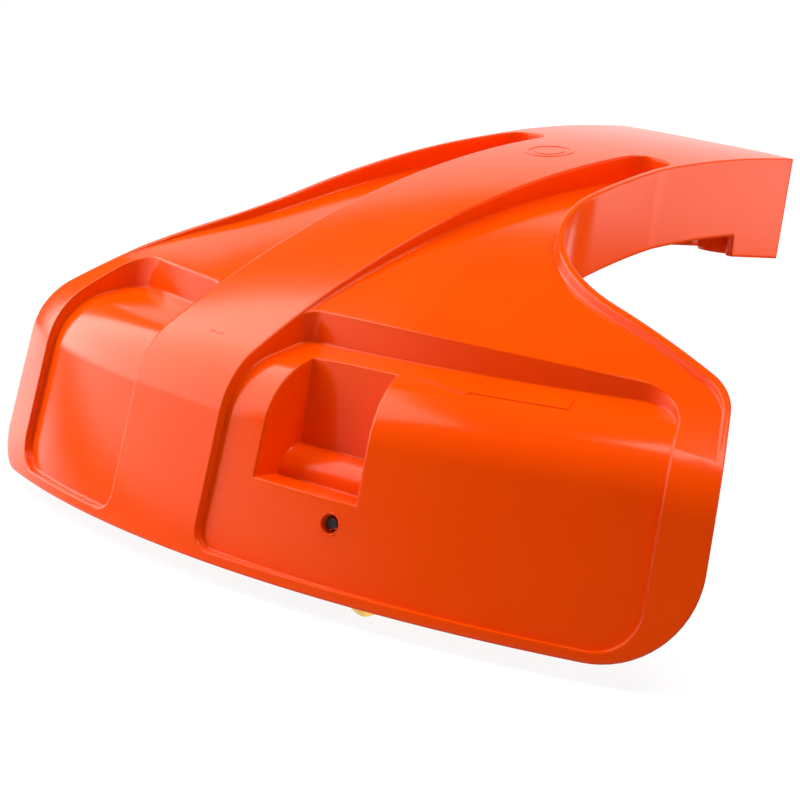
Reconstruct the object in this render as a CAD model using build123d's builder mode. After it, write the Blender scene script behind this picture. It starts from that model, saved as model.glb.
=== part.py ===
"""Trimmer guard: a moulded hood on a U-section neck, with its line cutter and screw.

The shape is drawn about the spindle axis of the machine: the rim of the skirt lies in the plane
Z = 0, the skirt faces -Y and the neck points back to the spindle. At the end the three pieces move
so that the middle of the neck screws' seat is the origin.
"""

import os
from math import cos, radians, sin, sqrt, tan

from build123d import *

# Hood surface, turned about the spindle axis
RIM_RADIUS = 250.0
SKIRT_DRAFT = 6.0
KNEE_RADIUS = 25.0
DECK_RADIUS = 350.0
CROWN_OFFSET = 29.0
CROWN_HEIGHT = 126.8
WALL = 2.5

# Plan outline, as distances from the spindle axis
NECK_WIDTH = 74.0
NECK_END = 26.5
NECK_BEND = 92.0
NECK_BEND_RADIUS = 30.0
RIGHT_ROOT_X = 46.5
RIGHT_BACK_RUN = 81.0
RIGHT_ANGLE = 38.7
RIGHT_ROOT_RADIUS = 50.0
RIGHT_CORNER_RADIUS = 16.0
RIGHT_RIM_CORNER = 28.0
LEFT_ROOT_X = 48.0
LEFT_ROOT_RISE = 25.0
LEFT_SHOULDER_RUN = 34.0
LEFT_SHOULDER_ANGLE = 20.0
LEFT_ANGLE = 22.2
LEFT_ROOT_RADIUS = 40.0
LEFT_CORNER_RADIUS = 25.0
LEFT_RIM_CORNER = 14.0

# Side flange, and the foot where the neck wall reaches lower
FLANGE_DEPTH = 25.0
FLANGE_RETURN = 2.0
FOOT_LENGTH = 24.0
FOOT_HEIGHT = 93.3
FOOT_SLANT = 3.0

# Sunk deck on both sides of the spine
SPINE_WIDTH = 38.0
LIP_WIDTH = 2.0
VALLEY_START = 83.0
VALLEY_SINK = 11.1
VALLEY_RADIUS = 356.5
VALLEY_CENTRE_X = 14.0
VALLEY_CENTRE_Y = 43.0
VALLEY_END_RADIUS = 6.0

# Pockets over the knee and skirt
POCKET_RUN = 33.0
POCKET_STEP = 10.0
POCKET_SLOPE = 19.0
POCKET_DEPTH = 2.3
POCKET_KNEE = 20.0
POCKET_SILL = 3.0
POCKET_BACK_CORNER = 5.0
RIGHT_POCKET_ANGLE = 35.4
RIGHT_POCKET_CORNER = 13.0
RIGHT_POCKET_TILT = 2.3
LEFT_POCKET_ANGLE = 18.0
LEFT_POCKET_CORNER = 10.0
LEFT_POCKET_TILT = 0.0
POCKET_FOOT_CORNER = 6.0
POCKET_HINGE_X = 24.0
POCKET_HINGE_HEIGHT = 25.0

# Square recess in the right pocket, with a rounded step at its back
RECESS_START = 7.9
RECESS_END = 15.1
RECESS_MOUTH_END = 16.2
RECESS_RUN = 24.5
RECESS_FLOOR = 26.3
RECESS_STEP = 8.6

# Screw boss for the line cutter, on the inside of the skirt
CUTTER_ANGLE = 14.4
CUTTER_HEIGHT = 19.7
BOSS_DIAMETER = 11.0
BOSS_HEIGHT = 3.4
PILOT_DIAMETER = 4.4
MOUTH_DIAMETER = 5.5
MOUTH_DEPTH = 1.4

# Ribs and screw bosses under the neck
RIB_SPACING = 30.0
RIB_WIDTH = 2.5
RIB_LENGTH = 56.0
NECK_BOSS_DIAMETER = 12.0
NECK_BOSS_SPACING = 50.0
NECK_BOSS_Y = 44.0
NECK_BORE_DIAMETER = 5.0
NECK_BORE_DEPTH = 22.0

# Line cutter, bent from steel strip: a flange on the boss and a knife wing that stands inwards
CUTTER_THICKNESS = 1.6
CUTTER_WIDTH = 18.0
CUTTER_TOP = 23.4
CUTTER_SHOULDER = 11.0
CUTTER_CORNER = 3.0
CUTTER_WING = 10.5
CUTTER_REACH = 20.0
CUTTER_DROP = 5.0
CUTTER_BEND = 2.5
CUTTER_CHAMFER = 2.5
CUTTER_BEVEL = 4.0
CUTTER_EDGE = 0.3

# Cutter screw
SCREW_DIAMETER = 4.2
SCREW_HOLE_DIAMETER = 4.8
SCREW_HEAD_DIAMETER = 7.6
SCREW_HEAD_HEIGHT = 3.2
SCREW_HEAD_CHAMFER = 1.0
SCREW_TIP_SETBACK = 0.9
SCREW_TIP_CHAMFER = 0.5
SCREW_SOCKET = 3.6
SCREW_SOCKET_DEPTH = 1.8

# Working sizes of the cutting bodies
MARGIN = 20.0
REACH = 400.0

# Radii that follow the rim
RIGHT_BACK = RIM_RADIUS - RIGHT_BACK_RUN
LEFT_SHOULDER_RADIUS = RIM_RADIUS - LEFT_SHOULDER_RUN
POCKET_BACK = RIM_RADIUS - POCKET_RUN
RECESS_BACK = RIM_RADIUS - RECESS_RUN


def polar(radius, angle):
    """Plan point at a radius from the spindle and an angle from -Y towards +X."""
    return (radius * sin(radians(angle)), -radius * cos(radians(angle)))


def skirt_radius(height, inset):
    """Radius of the skirt at a height, moved inwards by an inset measured square to it."""
    slope = radians(SKIRT_DRAFT)
    return RIM_RADIUS - height * tan(slope) - inset / cos(slope)


def deck_height(radius):
    """Height of the deck above the rim at a radius from the spindle."""
    return CROWN_HEIGHT - DECK_RADIUS + sqrt(DECK_RADIUS**2 - (radius - CROWN_OFFSET) ** 2)


def outline(inset, neck_end=NECK_END):
    """Plan outline of the guard, moved inwards by an inset; it runs past the skirt at the front."""
    half = NECK_WIDTH / 2
    right_corner = (RIGHT_BACK * tan(radians(RIGHT_ANGLE)), -RIGHT_BACK)
    right_outer = polar(RIM_RADIUS + MARGIN, RIGHT_ANGLE)
    left_corner = polar(LEFT_SHOULDER_RADIUS, -LEFT_SHOULDER_ANGLE)
    left_rim = polar(RIM_RADIUS, -LEFT_ANGLE)
    left_outer = (2 * left_rim[0] - left_corner[0], 2 * left_rim[1] - left_corner[1])
    front = -(RIM_RADIUS + 2 * MARGIN)
    with BuildSketch() as plan:
        with BuildLine():
            right = FilletPolyline(
                (half, -neck_end),
                (half, -NECK_BEND),
                (RIGHT_ROOT_X, -RIGHT_BACK),
                right_corner,
                right_outer,
                radius=(NECK_BEND_RADIUS, RIGHT_ROOT_RADIUS, RIGHT_CORNER_RADIUS),
            )
            left = FilletPolyline(
                (-half, -neck_end),
                (-half, -NECK_BEND),
                (-LEFT_ROOT_X, left_corner[1] + LEFT_ROOT_RISE),
                left_corner,
                left_outer,
                radius=(NECK_BEND_RADIUS, LEFT_ROOT_RADIUS, LEFT_CORNER_RADIUS),
            )
            Line(left @ 0, right @ 0)
            Polyline(right @ 1, (right_outer[0], front), (left_outer[0], front), left @ 1)
        make_face()
        if inset:
            offset(amount=-inset)
    return plan.sketch


def turned_hood(inset, drop=0.0, foot=0.0):
    """Solid under the hood surface, inset by a wall, with its deck lowered by a drop."""
    top = CROWN_HEIGHT + MARGIN
    with BuildPart() as solid:
        with BuildSketch(Plane.XZ) as section:
            with BuildLine():
                Polyline(
                    (0, foot),
                    (skirt_radius(foot, inset), foot),
                    (skirt_radius(top, inset), top),
                    (0, top),
                    close=True,
                )
            make_face()
            with Locations((CROWN_OFFSET, CROWN_HEIGHT - DECK_RADIUS - drop)):
                Circle(DECK_RADIUS - inset, mode=Mode.INTERSECT)
            knee = section.vertices().sort_by(Axis.X)[-2:].sort_by(Axis.Y)[-1]
            fillet(knee, radius=KNEE_RADIUS - inset)
        revolve(axis=Axis.Z)
    return solid.part


def hood(inset, foot, neck_end=NECK_END):
    """The hood cut to its plan outline, inset all round by a wall."""
    dome = turned_hood(inset, foot=foot)
    plan = outline(inset, neck_end)
    with BuildPart() as solid:
        add(dome)
        with BuildSketch(Plane.XY.offset(foot)):
            add(plan)
        extrude(amount=CROWN_HEIGHT + MARGIN - foot, mode=Mode.INTERSECT)
    return solid.part


def valley(side, grow):
    """Void of the sunk deck on one side of the spine, grown by a wall for the inside."""
    inner = SPINE_WIDTH / 2 - grow
    deck = outline(LIP_WIDTH - grow)
    with BuildPart() as void:
        with BuildSketch() as plan:
            add(deck)
            with Locations((side * (inner + REACH / 2), grow - VALLEY_START - REACH / 2)):
                Rectangle(REACH, REACH, mode=Mode.INTERSECT)
            fillet(plan.vertices().sort_by(Axis.Y)[-2:], radius=VALLEY_END_RADIUS + grow)
        extrude(amount=CROWN_HEIGHT + MARGIN)
        with Locations((side * VALLEY_CENTRE_X, -VALLEY_CENTRE_Y, CROWN_HEIGHT - VALLEY_SINK - VALLEY_RADIUS)):
            Sphere(VALLEY_RADIUS - grow, mode=Mode.SUBTRACT)
    return void.part


def pocket(angle, corner, tilt, grow):
    """Void of the right-hand pocket, out to an angle, grown by a wall for the inside."""
    inner = SPINE_WIDTH / 2 - grow
    turn = radians(angle)
    far = RIM_RADIUS + 2 * MARGIN
    spread = grow / cos(turn)
    slope = tan(radians(POCKET_SLOPE))
    lean = tan(radians(SKIRT_DRAFT))
    depth = POCKET_DEPTH + grow
    floor = deck_height(POCKET_BACK) - POCKET_STEP
    level = floor + POCKET_BACK * slope - grow / cos(radians(POCKET_SLOPE))
    knee_radius = (skirt_radius(0, depth) - level * lean) / (1 - slope * lean)
    knee = (knee_radius, level - knee_radius * slope)
    back = POCKET_BACK - MARGIN
    start = POCKET_BACK * cos(turn) - MARGIN
    with BuildPart() as outside:
        with BuildSketch(Plane.XZ) as section:
            with BuildLine():
                Polyline(
                    (back, level - back * slope),
                    knee,
                    (skirt_radius(-MARGIN, depth), -MARGIN),
                    (far * 2, -MARGIN),
                    (far * 2, CROWN_HEIGHT + MARGIN),
                    (back, CROWN_HEIGHT + MARGIN),
                    close=True,
                )
            make_face()
            bend = section.vertices().sort_by_distance(knee)[0]
            fillet(bend, radius=POCKET_KNEE - grow)
        revolve(axis=Axis.Z)
    hinge = Axis((POCKET_HINGE_X, 0, POCKET_HINGE_HEIGHT), (0, 1, 0))
    tilted = outside.part.rotate(hinge, -tilt)
    with BuildPart() as void:
        with BuildSketch(Plane.XY.offset(POCKET_SILL - grow)):
            with BuildLine():
                Polyline(
                    (inner, -start),
                    (inner, -far),
                    (far * tan(turn) + spread, -far),
                    (start * tan(turn) + spread, -start),
                    close=True,
                )
            make_face()
            Circle(POCKET_BACK - grow, mode=Mode.SUBTRACT)
        extrude(amount=CROWN_HEIGHT)
        add(tilted, mode=Mode.INTERSECT)
        fillet(void.edges().group_by(Axis.Z)[0].sort_by(Axis.X)[0], radius=POCKET_FOOT_CORNER + grow)
        fillet(void.edges().group_by(Axis.Z)[0].sort_by(Axis.X)[-1], radius=corner + grow)
        uprights = void.edges().filter_by(Axis.Z).sort_by(Axis.Y)[-2:].sort_by(Axis.X)
        fillet(uprights[0], radius=POCKET_BACK_CORNER + grow)
        fillet(void.edges().filter_by(Axis.Z).sort_by(Axis.Y)[-1], radius=corner + grow)
    return void.part


def recess(grow):
    """Void of the square recess in the right pocket, grown by a wall for the inside."""
    middle = (RECESS_START + RECESS_END) / 2
    far = RIM_RADIUS + MARGIN
    side = Plane(origin=(0, 0, 0), x_dir=(*polar(1, middle), 0), z_dir=(*polar(1, middle - 90), 0))
    corner = Vector(*polar(RECESS_BACK, RECESS_END))
    flare = Vector(*polar(RIM_RADIUS, RECESS_MOUTH_END)) - corner
    with BuildPart() as void:
        with BuildSketch(side):
            with Locations((RECESS_BACK - grow, RECESS_FLOOR - grow)):
                Rectangle(far - RECESS_BACK, CROWN_HEIGHT, align=Align.MIN)
            with Locations((RECESS_BACK, RECESS_FLOOR)):
                Circle(RECESS_STEP - grow, mode=Mode.SUBTRACT)
        extrude(amount=REACH / 4, both=True)
        with BuildSketch():
            with BuildLine():
                Polyline(
                    polar(RECESS_BACK - MARGIN, RECESS_START),
                    polar(RECESS_BACK + 2 * MARGIN, RECESS_START),
                    corner + flare * 2,
                    corner - flare,
                    close=True,
                )
            make_face()
            offset(amount=grow, kind=Kind.INTERSECTION)
        extrude(amount=2 * CROWN_HEIGHT, mode=Mode.INTERSECT)
    return void.part


def flange_trim():
    """Body that cuts the side walls off below the flange, and leaves the foot of the neck."""
    inset = WALL + FLANGE_RETURN
    underside = turned_hood(inset, drop=FLANGE_DEPTH - inset, foot=-MARGIN)
    inside = outline(inset)
    with BuildPart() as solid:
        add(underside)
        with BuildSketch(Plane.XY.offset(-2 * MARGIN)):
            add(inside)
        extrude(amount=CROWN_HEIGHT + 3 * MARGIN, mode=Mode.SUBTRACT)
        with BuildSketch(Plane.YZ):
            with BuildLine():
                Polyline(
                    (MARGIN, FOOT_HEIGHT),
                    (-NECK_END - FOOT_LENGTH, FOOT_HEIGHT),
                    (-NECK_END - FOOT_LENGTH - FOOT_SLANT, CROWN_HEIGHT),
                    (MARGIN, CROWN_HEIGHT),
                    close=True,
                )
            make_face()
        extrude(amount=NECK_WIDTH, both=True, mode=Mode.SUBTRACT)
    return solid.part


def rim_corner(angle, radius):
    """Body that rounds the lower corner of the skirt at one end of the rim."""
    side = 1 if angle > 0 else -1
    facing = Plane(
        origin=(*polar(RIM_RADIUS, angle), 0),
        x_dir=(*polar(1, angle + 90), 0),
        z_dir=(*polar(1, angle), 0),
    )
    with BuildPart() as solid:
        with BuildSketch(facing):
            with Locations((-side * radius / 2 + side * MARGIN / 2, radius / 2 - MARGIN / 2)):
                Rectangle(radius + MARGIN, radius + MARGIN)
            with Locations((-side * radius, radius)):
                Circle(radius, mode=Mode.SUBTRACT)
            with Locations((-side * (radius + REACH / 2), 0)):
                Rectangle(REACH, REACH, mode=Mode.SUBTRACT)
            with Locations((0, radius + REACH / 2)):
                Rectangle(REACH, REACH, mode=Mode.SUBTRACT)
        extrude(amount=MARGIN, both=True)
    return solid.part


def neck_ribs():
    """Two ribs and two screw bosses under the neck, up into its top wall."""
    roof = hood(WALL / 2, 0)
    with BuildPart() as ribs:
        with BuildSketch(Plane.XY.offset(FOOT_HEIGHT)):
            with Locations((0, -NECK_END - RIB_LENGTH / 2)):
                with GridLocations(RIB_SPACING, 0, 2, 1):
                    Rectangle(RIB_WIDTH, RIB_LENGTH)
            with Locations((0, -NECK_BOSS_Y)):
                with GridLocations(NECK_BOSS_SPACING, 0, 2, 1):
                    Circle(NECK_BOSS_DIAMETER / 2)
        extrude(amount=CROWN_HEIGHT)
        add(roof, mode=Mode.INTERSECT)
    return ribs.part


def hollows(grow):
    """Every void that the outside of the hood has, grown by a wall for the inside."""
    left_pocket = pocket(LEFT_POCKET_ANGLE, LEFT_POCKET_CORNER, LEFT_POCKET_TILT, grow)
    return (
        valley(1, grow),
        valley(-1, grow),
        pocket(RIGHT_POCKET_ANGLE, RIGHT_POCKET_CORNER, RIGHT_POCKET_TILT, grow),
        left_pocket.mirror(Plane.YZ),
        recess(grow),
    )


outward = (*polar(1, CUTTER_ANGLE), 0)
inward = (*polar(-1, CUTTER_ANGLE), 0)
along = (*polar(1, CUTTER_ANGLE + 90), 0)
boss_length = WALL + BOSS_HEIGHT
boss_point = polar(skirt_radius(CUTTER_HEIGHT, POCKET_DEPTH) - boss_length, CUTTER_ANGLE)
boss_face = Plane(origin=(*boss_point, CUTTER_HEIGHT), x_dir=along, z_dir=outward)

outer_skin = hood(0, 0)
inner_skin = hood(WALL, -MARGIN, NECK_END - MARGIN)
outer_hollows = hollows(0)
inner_hollows = hollows(WALL)
trim_bodies = (
    flange_trim(),
    rim_corner(RIGHT_ANGLE, RIGHT_RIM_CORNER),
    rim_corner(-LEFT_ANGLE, LEFT_RIM_CORNER),
)
ribs_and_bosses = neck_ribs()

with BuildPart() as cavity:
    add(inner_skin)
    for void in inner_hollows:
        add(void, mode=Mode.SUBTRACT)

with BuildPart() as guard_shell:
    add(outer_skin)
    for void in outer_hollows:
        add(void, mode=Mode.SUBTRACT)
    add(cavity.part, mode=Mode.SUBTRACT)
    for body in trim_bodies:
        add(body, mode=Mode.SUBTRACT)
    add(ribs_and_bosses)
    with BuildSketch(Plane.XY.offset(FOOT_HEIGHT)):
        with Locations((0, -NECK_BOSS_Y)):
            with GridLocations(NECK_BOSS_SPACING, 0, 2, 1):
                Circle(NECK_BORE_DIAMETER / 2)
    extrude(amount=NECK_BORE_DEPTH, mode=Mode.SUBTRACT)
    with BuildSketch(boss_face):
        Circle(BOSS_DIAMETER / 2)
    extrude(amount=boss_length - WALL / 2)
    with BuildSketch(boss_face):
        Circle(PILOT_DIAMETER / 2)
    extrude(amount=boss_length + MARGIN, mode=Mode.SUBTRACT)
    with BuildSketch(boss_face.offset(boss_length - MOUTH_DEPTH)):
        Circle(MOUTH_DIAMETER / 2)
    extrude(amount=MARGIN, mode=Mode.SUBTRACT)

strip_plane = Plane(origin=(*boss_point, -CUTTER_DROP), x_dir=along, z_dir=(0, 0, 1))
wing_plane = Plane(origin=(*boss_point, -CUTTER_DROP), x_dir=inward, z_dir=along)
wing_inside = CUTTER_WING - CUTTER_THICKNESS
wing_root = wing_inside - CUTTER_BEND

with BuildPart() as line_cutter:
    with BuildSketch(strip_plane) as strip:
        with BuildLine():
            Polyline(
                (-CUTTER_WIDTH / 2, 0),
                (CUTTER_WING, 0),
                (CUTTER_WING, CUTTER_REACH - CUTTER_BEVEL),
                (wing_inside + CUTTER_EDGE, CUTTER_REACH),
                (wing_inside, CUTTER_REACH),
                (wing_inside, CUTTER_THICKNESS),
                (-CUTTER_WIDTH / 2, CUTTER_THICKNESS),
                close=True,
            )
        make_face()
        bend = strip.vertices().sort_by_distance((CUTTER_WING, 0))[0]
        fillet(bend, radius=CUTTER_BEND + CUTTER_THICKNESS)
        bend = strip.vertices().sort_by_distance((wing_inside, CUTTER_THICKNESS))[0]
        fillet(bend, radius=CUTTER_BEND)
    extrude(amount=CUTTER_TOP + CUTTER_DROP)
    with BuildSketch(boss_face):
        with Locations((wing_root, CUTTER_SHOULDER - CUTTER_HEIGHT)):
            Rectangle(CUTTER_WIDTH * 2, CUTTER_TOP * 2, align=Align.MAX)
    extrude(amount=CUTTER_REACH, both=True, mode=Mode.SUBTRACT)
    thin = line_cutter.edges().filter_by(Axis((0, 0, 0), outward))
    fillet(thin.filter_by(lambda edge: edge.length < 2 * CUTTER_THICKNESS), radius=CUTTER_CORNER)
    with BuildSketch(wing_plane):
        with BuildLine():
            Polyline(
                (-CUTTER_CHAMFER, -CUTTER_CHAMFER),
                (2 * CUTTER_CHAMFER, -CUTTER_CHAMFER),
                (-CUTTER_CHAMFER, 2 * CUTTER_CHAMFER),
                close=True,
            )
        make_face()
    extrude(amount=CUTTER_WING + MARGIN, mode=Mode.SUBTRACT)
    with BuildSketch(boss_face):
        Circle(SCREW_HOLE_DIAMETER / 2)
    extrude(amount=-MARGIN, mode=Mode.SUBTRACT)

head_seat = boss_face.offset(-CUTTER_THICKNESS)
screw_line = Axis(boss_face.origin, boss_face.z_dir)

with BuildPart() as cutter_screw:
    with BuildSketch(head_seat):
        Circle(SCREW_HEAD_DIAMETER / 2)
    extrude(amount=-SCREW_HEAD_HEIGHT)
    chamfer(cutter_screw.edges().sort_by(screw_line)[0], length=SCREW_HEAD_CHAMFER)
    with BuildSketch(head_seat):
        Circle(SCREW_DIAMETER / 2)
    extrude(amount=CUTTER_THICKNESS + boss_length - SCREW_TIP_SETBACK)
    chamfer(cutter_screw.edges().sort_by(screw_line)[-1], length=SCREW_TIP_CHAMFER)
    with BuildSketch(head_seat.offset(-SCREW_HEAD_HEIGHT)):
        RegularPolygon(SCREW_SOCKET / 2, 6)
    extrude(amount=SCREW_SOCKET_DEPTH, mode=Mode.SUBTRACT)

row_origin = Location((0, NECK_BOSS_Y, -FOOT_HEIGHT))
guard_shell.part.move(row_origin)
line_cutter.part.move(row_origin)
cutter_screw.part.move(row_origin)

os.makedirs("parts", exist_ok=True)
guard_shell.part.label = "guard_shell"
line_cutter.part.label = "line_cutter"
cutter_screw.part.label = "cutter_screw"
export_step(guard_shell.part, "parts/guard_shell.step")
export_step(line_cutter.part, "parts/line_cutter.step")
export_step(cutter_screw.part, "parts/cutter_screw.step")
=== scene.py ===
import math

import bmesh
import bpy
from mathutils import Matrix, Vector
from mathutils.bvhtree import BVHTree


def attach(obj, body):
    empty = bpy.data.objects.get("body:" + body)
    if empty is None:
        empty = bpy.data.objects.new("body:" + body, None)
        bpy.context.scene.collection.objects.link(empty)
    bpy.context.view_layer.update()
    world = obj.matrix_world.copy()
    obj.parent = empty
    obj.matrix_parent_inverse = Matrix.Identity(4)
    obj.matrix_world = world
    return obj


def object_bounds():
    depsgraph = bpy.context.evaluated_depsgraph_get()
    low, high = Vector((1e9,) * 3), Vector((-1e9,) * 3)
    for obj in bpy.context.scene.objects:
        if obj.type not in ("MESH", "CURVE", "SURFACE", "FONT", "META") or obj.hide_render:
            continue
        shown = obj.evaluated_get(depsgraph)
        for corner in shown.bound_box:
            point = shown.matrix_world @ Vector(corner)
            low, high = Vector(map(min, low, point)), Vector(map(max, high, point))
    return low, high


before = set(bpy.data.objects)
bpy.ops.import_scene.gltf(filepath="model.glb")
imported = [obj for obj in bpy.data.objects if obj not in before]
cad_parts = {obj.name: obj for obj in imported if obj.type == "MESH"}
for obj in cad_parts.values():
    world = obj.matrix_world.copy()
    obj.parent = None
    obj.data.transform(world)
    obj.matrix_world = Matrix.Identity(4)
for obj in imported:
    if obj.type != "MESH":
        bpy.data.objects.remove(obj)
cad_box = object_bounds()
scene = bpy.context.scene
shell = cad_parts["guard_shell"]
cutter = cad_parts["line_cutter"]
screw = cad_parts["cutter_screw"]

# Lengths are in metres and angles in degrees. Spindle axis and rim plane in the row frame
SPINDLE_Y = 0.044
RIM_Z = -0.0933

# Direction arrow on the right pocket: its distance from the spindle, and angles about the spindle
ARROW_RADIUS = 0.2256
ARROW_TIP = 16.8
ARROW_BARB = 20.95
ARROW_TAIL = 27.95
ARROW_OVERLAP = 0.05
ARROW_HEAD_WIDTH = 0.0087
ARROW_SHAFT_WIDTH = 0.0060
ARROW_POINT_WIDTH = 0.0002
ARROW_RISE = 0.0003
ARROW_HEAD_STEPS = 10
ARROW_SHAFT_STEPS = 16

# Ring and disc on the neck: distance from the spindle and angle about it, then sizes
RING_PLACE = (0.1023, -0.95)
RING_DIAMETER = 0.0155
RING_WIDTH = 0.0011
RING_RISE = 0.00016
RING_STEPS = 64
DISC_DIAMETER = 0.0098
DISC_CENTRE_DIAMETER = DISC_DIAMETER / 50

# Grains at the gate on the spine: distance from the spindle, angles about it, half sizes
GATE_RADIUS = 0.2342
GATE_ANGLES = (-0.36, -0.10, 0.42, 0.78)
GATE_GRAIN = (0.0006, 0.0004, 0.00008)
GATE_TURN_PER_DEGREE = 90.0

# Lip around the screw mouth in the skirt: ripples are share, waves around, start in radians
MOUTH_ANGLE = 14.4
MOUTH_HEIGHT = 0.0197
MOUTH_DIAMETER = 0.0055
BURR_WIDTH = 0.00045
BURR_RISE = 0.00022
BURR_TURN = -60.0
BURR_LOWEST = 0.45
BURR_CREST = 0.6
BURR_LEAN = 0.2
BURR_RIPPLES = ((0.25, 5, 1.0), (0.15, 11, 0.0))
BURR_STEPS = 72

# Swarf on the tip of the screw: across, up, turn, half sizes
SWARF = (
    (0.00145, -0.00100, 35.0, (0.00046, 0.00026, 0.00020)),
    (0.00110, -0.00130, 80.0, (0.00030, 0.00020, 0.00018)),
    (-0.00010, -0.00165, 5.0, (0.00046, 0.00016, 0.00016)),
    (0.00045, 0.00135, 60.0, (0.00024, 0.00016, 0.00014)),
)
CRUMB_SWELL = 0.22
CRUMB_WAVES = (4, 5)

# How deep the marks stand in the shell, and where the rays that find its surface start
MARK_DEPTH = 0.0003
ABOVE_SHELL = 0.1
OUTSIDE_SKIRT = 0.4

# Finishes: colours and roughness as pairs that a pattern blends, patterns by their scale
ORANGE = ((0.80, 0.053, 0.000), (0.83, 0.064, 0.000))
ORANGE_ROUGHNESS = (0.14, 0.18)
ORANGE_CLOUD_SCALE = 28
ORANGE_CLOUD_REACH = (0.1, 0.9)
ORANGE_GRAIN_SCALE = 1500
ORANGE_GRAIN_BUMP = 0.10
ORANGE_IOR = 1.5
ORANGE_SPECULAR = 0.18
ORANGE_TINT = (1, 0.93, 0.80, 1)
SHELL_EDGE_RADIUS = 0.0012
MARK_EDGE_RADIUS = 0.00015
EDGE_SAMPLES = 8
ZINC = ((1.00, 0.62, 0.10), (0.98, 0.70, 0.22))
ZINC_ROUGHNESS = (0.28, 0.48)
ZINC_METALLIC = 0.6
ZINC_DRIFT_SCALE = 160
ZINC_LINE_STRETCH = (900, 900, 40)
ZINC_LINE_BUMP = 0.1
OXIDE = ((0.007, 0.006, 0.006), (0.018, 0.013, 0.012))
OXIDE_ROUGHNESS = (0.45, 0.65)
OXIDE_METALLIC = 0.3
OXIDE_FILM_SCALE = 900
OXIDE_GLOSS_SCALE = 1400
OXIDE_PIT_SCALE = 2500
OXIDE_PIT_BUMP = 0.2
BUMP_HEIGHT = 0.00005

# Floor and surround. Reaches and edges are ranges over which a level fades, from the middle
FLOOR_SIZE = 6.0
FLOOR_GAP = 0.0005
FLOOR_GREY = 0.56
FLOOR_ROUGHNESS = 0.9
WHITE_GLOW = 1.1
SHADOW_WHITE = 0.82
SHADOW_REACH = (0.25, 0.8)
# Painted reflection in the floor, seen only by glossy rays: how far it reaches, a white patch close by,
# and patches brighter than white on the left with a dark strip between them
PAINTED_REFLECTION_REACH = (1.2, 1.8)
CLOSE_PAINTED_REFLECTION_REACH = (0.14, 0.24)
PAINTED_REFLECTION_GLOW = 2.5
PAINTED_REFLECTION_RIGHT_EDGE = (-0.25, 0.05)
PAINTED_REFLECTION_FRONT_EDGE = (-0.265, -0.215)
PAINTED_REFLECTION_BACK_EDGE = (-0.155, -0.115)
SURROUND_LIGHT = 0.04

# Camera at the photograph's angle
CAMERA_AZIMUTH = 44.0
CAMERA_ELEVATION = 9.5
CAMERA_ROLL = 8.5
CAMERA_PLACE = (0.5485, -0.7228 + SPINDLE_Y, 0.1712 + RIM_Z)
CAMERA_LENS_MM = 117.0
CAMERA_SENSOR_MM = 36.0
CAMERA_NEAR = 0.01

# Softboxes: name, place, width, height, watts
SOFTBOX_AIM = (0.02, -0.12, -0.02)
SOFTBOXES = (
    ("top_softbox", (0.38, -0.12, 1.12), 0.7, 0.7, 14.5),
    ("left_softbox", (-0.99, -0.70, 0.655), 1.5, 1.7, 41),
    ("right_softbox", (0.75, 0.55, 0.14), 0.9, 0.46, 5.6),
    ("back_softbox", (-0.80, 0.95, 0.42), 1.6, 0.9, 4),
)


def new_material(name):
    mat = bpy.data.materials.new(name)
    mat.use_nodes = True
    nodes = mat.node_tree.nodes
    return mat, nodes, mat.node_tree.links, nodes["Principled BSDF"]


def noise(nodes, links, coords, scale, detail=3.0):
    node = nodes.new("ShaderNodeTexNoise")
    node.inputs["Scale"].default_value = scale
    node.inputs["Detail"].default_value = detail
    links.new(coords, node.inputs["Vector"])
    return node.outputs["Fac"]


def spread(nodes, links, value, levels, reach=(0.3, 0.7)):
    """Fade from the first level to the second while the value passes through a reach."""
    node = nodes.new("ShaderNodeMapRange")
    node.inputs["From Min"].default_value, node.inputs["From Max"].default_value = reach
    node.inputs["To Min"].default_value, node.inputs["To Max"].default_value = levels
    links.new(value, node.inputs["Value"])
    return node.outputs["Result"]


def blend_colour(nodes, links, factor, pair):
    node = nodes.new("ShaderNodeMix")
    node.data_type = "RGBA"
    node.inputs["A"].default_value = (*pair[0], 1)
    node.inputs["B"].default_value = (*pair[1], 1)
    links.new(factor, node.inputs["Factor"])
    return node.outputs["Result"]


def math_node(nodes, links, operation, first, second):
    node = nodes.new("ShaderNodeMath")
    node.operation = operation
    links.new(first, node.inputs[0])
    links.new(second, node.inputs[1])
    return node.outputs["Value"]


def mix_shaders(nodes, links, factor, first, second):
    node = nodes.new("ShaderNodeMixShader")
    links.new(factor, node.inputs["Fac"])
    links.new(first, node.inputs[1])
    links.new(second, node.inputs[2])
    return node.outputs["Shader"]


def bump(nodes, links, height, strength, normal=None):
    node = nodes.new("ShaderNodeBump")
    node.inputs["Strength"].default_value = strength
    node.inputs["Distance"].default_value = BUMP_HEIGHT
    links.new(height, node.inputs["Height"])
    if normal:
        links.new(normal, node.inputs["Normal"])
    return node.outputs["Normal"]


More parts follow.
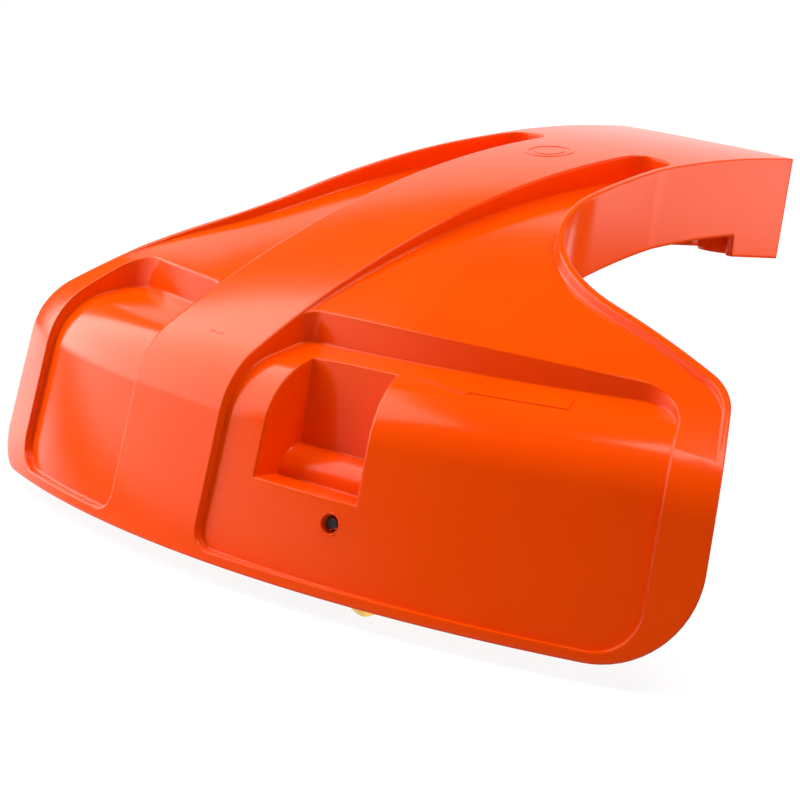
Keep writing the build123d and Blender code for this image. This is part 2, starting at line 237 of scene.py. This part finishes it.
def orange_plastic(name, edge_radius):
    """Satin moulded plastic: clouded colour, uneven gloss, fine grain and soft edges."""
    mat, nodes, links, shader = new_material(name)
    coords = nodes.new("ShaderNodeTexCoord").outputs["Object"]
    cloud = noise(nodes, links, coords, ORANGE_CLOUD_SCALE, detail=1)
    cloud = spread(nodes, links, cloud, (0, 1), ORANGE_CLOUD_REACH)
    links.new(blend_colour(nodes, links, cloud, ORANGE), shader.inputs["Base Color"])
    links.new(spread(nodes, links, cloud, ORANGE_ROUGHNESS, (0, 1)), shader.inputs["Roughness"])
    soft = nodes.new("ShaderNodeBevel")
    soft.samples = EDGE_SAMPLES
    soft.inputs["Radius"].default_value = edge_radius
    grain = noise(nodes, links, coords, ORANGE_GRAIN_SCALE, detail=2)
    grained = bump(nodes, links, grain, ORANGE_GRAIN_BUMP, soft.outputs["Normal"])
    links.new(grained, shader.inputs["Normal"])
    shader.inputs["IOR"].default_value = ORANGE_IOR
    shader.inputs["Specular IOR Level"].default_value = ORANGE_SPECULAR
    shader.inputs["Specular Tint"].default_value = ORANGE_TINT
    return mat


def yellow_zinc(name):
    """Yellow zinc plating: warm metal with a faint drift of tint and drawn scratches."""
    mat, nodes, links, shader = new_material(name)
    coords = nodes.new("ShaderNodeTexCoord").outputs["Object"]
    drift = spread(nodes, links, noise(nodes, links, coords, ZINC_DRIFT_SCALE), (0, 1))
    links.new(blend_colour(nodes, links, drift, ZINC), shader.inputs["Base Color"])
    stretch = nodes.new("ShaderNodeMapping")
    stretch.inputs["Scale"].default_value = ZINC_LINE_STRETCH
    links.new(coords, stretch.inputs["Vector"])
    lines = noise(nodes, links, stretch.outputs["Vector"], 1.0)
    links.new(spread(nodes, links, lines, ZINC_ROUGHNESS), shader.inputs["Roughness"])
    links.new(bump(nodes, links, lines, ZINC_LINE_BUMP), shader.inputs["Normal"])
    shader.inputs["Metallic"].default_value = ZINC_METALLIC
    return mat


def black_oxide(name):
    """Blackened steel with a brownish, uneven film."""
    mat, nodes, links, shader = new_material(name)
    coords = nodes.new("ShaderNodeTexCoord").outputs["Object"]
    film = spread(nodes, links, noise(nodes, links, coords, OXIDE_FILM_SCALE, detail=4), (0, 1))
    links.new(blend_colour(nodes, links, film, OXIDE), shader.inputs["Base Color"])
    gloss = noise(nodes, links, coords, OXIDE_GLOSS_SCALE)
    links.new(spread(nodes, links, gloss, OXIDE_ROUGHNESS), shader.inputs["Roughness"])
    pits = noise(nodes, links, coords, OXIDE_PIT_SCALE)
    links.new(bump(nodes, links, pits, OXIDE_PIT_BUMP), shader.inputs["Normal"])
    shader.inputs["Metallic"].default_value = OXIDE_METALLIC
    return mat


def dress(obj, mat):
    obj.data.materials.clear()
    obj.data.materials.append(mat)


shell_tree = BVHTree.FromObject(shell, bpy.context.evaluated_depsgraph_get())
screw_tree = BVHTree.FromObject(screw, bpy.context.evaluated_depsgraph_get())


def plan_point(radius, angle):
    """Plan point of the row frame at a radius and an angle about the spindle."""
    turn = math.radians(angle)
    return Vector((radius * math.sin(turn), SPINDLE_Y - radius * math.cos(turn)))


def top_of_shell(point):
    """Place and normal of the shell straight under a plan point."""
    above = Vector((point.x, point.y, ABOVE_SHELL))
    return shell_tree.ray_cast(above, Vector((0, 0, -1)))[:2]


def join_rows(mesh, rows, closed):
    """Faces of a tube whose section has one corner on each row; an open one gets ends."""
    count = len(rows[0])
    for step in range(count if closed else count - 1):
        after = (step + 1) % count
        for first, second in zip(rows, rows[1:] + rows[:1]):
            mesh.faces.new((first[step], first[after], second[after], second[step]))
    if not closed:
        mesh.faces.new([row[0] for row in rows])
        mesh.faces.new([row[-1] for row in reversed(rows)])


def raised_band(mesh, left, right, rise, closed):
    """A low plate between two rows of plan points, standing on the shell."""
    section = ((left, -MARK_DEPTH), (left, rise), (right, rise), (right, -MARK_DEPTH))
    rows = [
        [mesh.verts.new(top_of_shell(point)[0] + Vector((0, 0, lift))) for point in line]
        for line, lift in section
    ]
    join_rows(mesh, rows, closed)


def crumb(mesh, place, normal, turn, size):
    """A small uneven lump lying on a surface."""
    facing = normal.to_track_quat("Z", "Y").to_matrix().to_4x4()
    seat = Matrix.Translation(place) @ facing @ Matrix.Rotation(math.radians(turn), 4, "Z")
    seat = seat @ Matrix.Diagonal((*size, 1))
    along, across = CRUMB_WAVES
    for vert in bmesh.ops.create_icosphere(mesh, subdivisions=3, radius=1)["verts"]:
        wave = math.sin(along * vert.co.x + turn) * math.cos(across * vert.co.y - turn)
        vert.co = seat @ (vert.co * (1 + CRUMB_SWELL * wave))


def mark_object(name, mesh, mat, smooth=False):
    """Make the mesh a piece of the part that rides with the shell and has its finish."""
    bmesh.ops.recalc_face_normals(mesh, faces=mesh.faces)
    for face in mesh.faces:
        face.smooth = smooth
    data = bpy.data.meshes.new(name)
    mesh.to_mesh(data)
    mesh.free()
    obj = bpy.data.objects.new(name, data)
    scene.collection.objects.link(obj)
    dress(obj, mat)
    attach(obj, "root")


def arrow_mark(mat):
    """Plain direction arrow, raised on the floor of the right pocket."""
    mesh = bmesh.new()
    shaft_start = ARROW_BARB - ARROW_OVERLAP
    runs = (
        (ARROW_TIP, ARROW_BARB, ARROW_POINT_WIDTH, ARROW_HEAD_WIDTH, ARROW_HEAD_STEPS),
        (shaft_start, ARROW_TAIL, ARROW_SHAFT_WIDTH, ARROW_SHAFT_WIDTH, ARROW_SHAFT_STEPS),
    )
    for start, end, start_width, end_width, steps in runs:
        left, right = [], []
        for step in range(steps + 1):
            share = step / steps
            angle = start + (end - start) * share
            half = (start_width + (end_width - start_width) * share) / 2
            left.append(plan_point(ARROW_RADIUS - half, angle))
            right.append(plan_point(ARROW_RADIUS + half, angle))
        raised_band(mesh, left, right, ARROW_RISE, False)
    mark_object("direction_arrow", mesh, mat)


def circle_row(diameter):
    """Plan points of a circle about the middle of the ring."""
    centre = plan_point(*RING_PLACE)
    turns = [2 * math.pi * step / RING_STEPS for step in range(RING_STEPS)]
    return [centre + Vector((math.cos(turn), math.sin(turn))) * diameter / 2 for turn in turns]


def ring_mark(mat):
    """Plain ring with a low disc in it, raised on the top of the neck."""
    mesh = bmesh.new()
    bands = ((RING_DIAMETER, RING_DIAMETER - 2 * RING_WIDTH), (DISC_DIAMETER, DISC_CENTRE_DIAMETER))
    for outside, inside in bands:
        raised_band(mesh, circle_row(outside), circle_row(inside), RING_RISE, True)
    mark_object("neck_ring", mesh, mat)


def gate_mark(mat):
    """Grains left where the moulding was cut from its runner, on the front of the spine."""
    mesh = bmesh.new()
    for angle in GATE_ANGLES:
        place, normal = top_of_shell(plan_point(GATE_RADIUS, angle))
        crumb(mesh, place, normal, GATE_TURN_PER_DEGREE * angle, GATE_GRAIN)
    mark_object("gate_grains", mesh, mat, True)


# Directions at the screw mouth: out of the skirt, and along it
mouth_turn = math.radians(MOUTH_ANGLE)
mouth_out = Vector((math.sin(mouth_turn), -math.cos(mouth_turn), 0))
mouth_along = Vector((math.cos(mouth_turn), math.sin(mouth_turn), 0))
mouth_axis = Vector((0, SPINDLE_Y, RIM_Z + MOUTH_HEIGHT))


def at_mouth(tree, across, up):
    """Place and normal where a line parallel to the screw, from outside, meets a solid."""
    start = mouth_axis + mouth_out * OUTSIDE_SKIRT + mouth_along * across + Vector((0, 0, up))
    return tree.ray_cast(start, -mouth_out)[:2]


def mouth_burr(mat):
    """Uneven lip that the screw pushed up around its mouth, highest at the lower right."""
    mesh = bmesh.new()
    rows = [[], [], [], []]
    edge = MOUTH_DIAMETER / 2
    for step in range(BURR_STEPS):
        turn = 2 * math.pi * step / BURR_STEPS
        ripple = 1 + sum(share * math.sin(waves * turn + start) for share, waves, start in BURR_RIPPLES)
        towards = math.cos((turn - math.radians(BURR_TURN)) / 2) ** 2
        height = ripple * (BURR_LOWEST + (1 - BURR_LOWEST) * towards)
        ray = mouth_along * math.cos(turn) + Vector((0, 0, math.sin(turn)))
        outer = edge + BURR_WIDTH * ripple
        skirt = at_mouth(shell_tree, outer * math.cos(turn), outer * math.sin(turn))[0]
        section = (
            (0, -MARK_DEPTH),
            (0, 0),
            (-BURR_CREST * BURR_WIDTH * ripple, BURR_RISE * height),
            (edge - outer - BURR_LEAN * BURR_WIDTH * height, -MARK_DEPTH),
        )
        for row, (shift, lift) in zip(rows, section):
            row.append(mesh.verts.new(skirt + ray * shift + mouth_out * lift))
    join_rows(mesh, rows, True)
    mark_object("mouth_burr", mesh, mat, True)


def mouth_swarf(mat):
    """Crumbs of plastic that stick to the tip of the screw."""
    mesh = bmesh.new()
    for across, up, turn, size in SWARF:
        place, normal = at_mouth(screw_tree, across, up)
        crumb(mesh, place, normal, turn, size)
    mark_object("mouth_swarf", mesh, mat, True)


def painted_reflection_glow(nodes, links, place, distance):
    """What only glossy rays see of the floor near the object.

    Painted reflection: two patches brighter than white on the left with a dark strip between them,
    a white patch close to the middle, and dark elsewhere. They paint in the reflections of a studio.
    """
    axes = nodes.new("ShaderNodeSeparateXYZ")
    links.new(place, axes.inputs[0])
    # Painted reflection: bright patches on the left, with a dark strip between the front and back ones
    front = spread(nodes, links, axes.outputs["Y"], (1, 0), PAINTED_REFLECTION_FRONT_EDGE)
    back = spread(nodes, links, axes.outputs["Y"], (0, 1), PAINTED_REFLECTION_BACK_EDGE)
    left = spread(nodes, links, axes.outputs["X"], (PAINTED_REFLECTION_GLOW, 0), PAINTED_REFLECTION_RIGHT_EDGE)
    painted_reflection_patches = math_node(nodes, links, "MULTIPLY", left, math_node(nodes, links, "MAXIMUM", front, back))
    # Painted reflection: a white patch close to the middle
    painted_close_patch = spread(nodes, links, distance, (WHITE_GLOW, 0), CLOSE_PAINTED_REFLECTION_REACH)
    painted_reflection_emission = nodes.new("ShaderNodeEmission")
    links.new(math_node(nodes, links, "MAXIMUM", painted_reflection_patches, painted_close_patch), painted_reflection_emission.inputs["Strength"])
    return painted_reflection_emission.outputs["Emission"]


def white_floor(name):
    """Pale floor: white to the camera with a faint shadow near the object, and a painted reflection
    that only glossy rays see.
    """
    mat, nodes, links, shader = new_material(name)
    shader.inputs["Base Color"].default_value = (FLOOR_GREY, FLOOR_GREY, FLOOR_GREY, 1)
    shader.inputs["Roughness"].default_value = FLOOR_ROUGHNESS
    shader.inputs["Specular IOR Level"].default_value = 0.0
    place = nodes.new("ShaderNodeTexCoord").outputs["Object"]
    measure = nodes.new("ShaderNodeVectorMath")
    measure.operation = "LENGTH"
    links.new(place, measure.inputs[0])
    distance = measure.outputs["Value"]
    white = nodes.new("ShaderNodeEmission")
    white.inputs["Strength"].default_value = WHITE_GLOW
    ray = nodes.new("ShaderNodeLightPath").outputs
    near = spread(nodes, links, distance, (1, 0), PAINTED_REFLECTION_REACH)
    painted_reflection_share = math_node(nodes, links, "MULTIPLY", ray["Is Glossy Ray"], near)
    cover = spread(nodes, links, distance, (SHADOW_WHITE, 1), SHADOW_REACH)
    seen = math_node(nodes, links, "MULTIPLY", ray["Is Camera Ray"], cover)
    painted_reflection_emission = painted_reflection_glow(nodes, links, place, distance)
    # Glossy rays near the object see the painted reflection, not the floor's own shading
    surface = mix_shaders(nodes, links, painted_reflection_share, shader.outputs["BSDF"], painted_reflection_emission)
    surface = mix_shaders(nodes, links, seen, surface, white.outputs["Emission"])
    links.new(surface, nodes["Material Output"].inputs["Surface"])
    return mat


def add_floor():
    """Plane just under the lowest point of the object."""
    middle = (Vector(cad_box[0]) + Vector(cad_box[1])) / 2
    place = (middle.x, middle.y, cad_box[0][2] - FLOOR_GAP)
    bpy.ops.mesh.primitive_plane_add(size=FLOOR_SIZE, location=place)
    floor = bpy.context.object
    floor.name = "floor"
    dress(floor, white_floor("floor_white"))


def add_surround():
    """World that is white to the camera and a weak plain light to the rest."""
    world = bpy.data.worlds.new("studio")
    scene.world = world
    world.use_nodes = True
    nodes, links = world.node_tree.nodes, world.node_tree.links
    plain = nodes["Background"]
    plain.inputs["Color"].default_value = (1, 1, 1, 1)
    plain.inputs["Strength"].default_value = SURROUND_LIGHT
    white = nodes.new("ShaderNodeBackground")
    white.inputs["Color"].default_value = (1, 1, 1, 1)
    white.inputs["Strength"].default_value = 1.0
    seen = nodes.new("ShaderNodeLightPath").outputs["Is Camera Ray"]
    surface = mix_shaders(nodes, links, seen, plain.outputs["Background"], white.outputs["Background"])
    links.new(surface, nodes["World Output"].inputs["Surface"])


def add_camera():
    azimuth = math.radians(CAMERA_AZIMUTH)
    elevation = math.radians(CAMERA_ELEVATION)
    roll = math.radians(CAMERA_ROLL)
    level = math.cos(elevation)
    back = Vector((math.sin(azimuth) * level, -math.cos(azimuth) * level, math.sin(elevation)))
    right = Vector((math.cos(azimuth), math.sin(azimuth), 0))
    up = back.cross(right)
    side = right * math.cos(roll) + up * math.sin(roll)
    head = up * math.cos(roll) - right * math.sin(roll)
    pose = Matrix((side, head, back)).transposed().to_4x4()
    pose.translation = Vector(CAMERA_PLACE)
    data = bpy.data.cameras.new("camera")
    data.sensor_width = CAMERA_SENSOR_MM
    data.lens = CAMERA_LENS_MM
    data.clip_start = CAMERA_NEAR
    camera = bpy.data.objects.new("camera", data)
    scene.collection.objects.link(camera)
    camera.matrix_world = pose
    scene.camera = camera


def add_softbox(name, place, width, height, power):
    data = bpy.data.lights.new(name, "AREA")
    data.shape = "RECTANGLE"
    data.size = width
    data.size_y = height
    data.energy = power
    lamp = bpy.data.objects.new(name, data)
    scene.collection.objects.link(lamp)
    lamp.location = place
    towards = Vector(SOFTBOX_AIM) - Vector(place)
    lamp.rotation_euler = towards.to_track_quat("-Z", "Y").to_euler()


dress(shell, orange_plastic("shell_orange", SHELL_EDGE_RADIUS))
dress(cutter, yellow_zinc("cutter_zinc"))
dress(screw, black_oxide("screw_black"))
mark_plastic = orange_plastic("mark_orange", MARK_EDGE_RADIUS)
arrow_mark(mark_plastic)
ring_mark(mark_plastic)
gate_mark(mark_plastic)
mouth_burr(mark_plastic)
mouth_swarf(mark_plastic)

add_floor()
add_surround()
add_camera()
for softbox in SOFTBOXES:
    add_softbox(*softbox)

scene.view_settings.view_transform = "Standard"
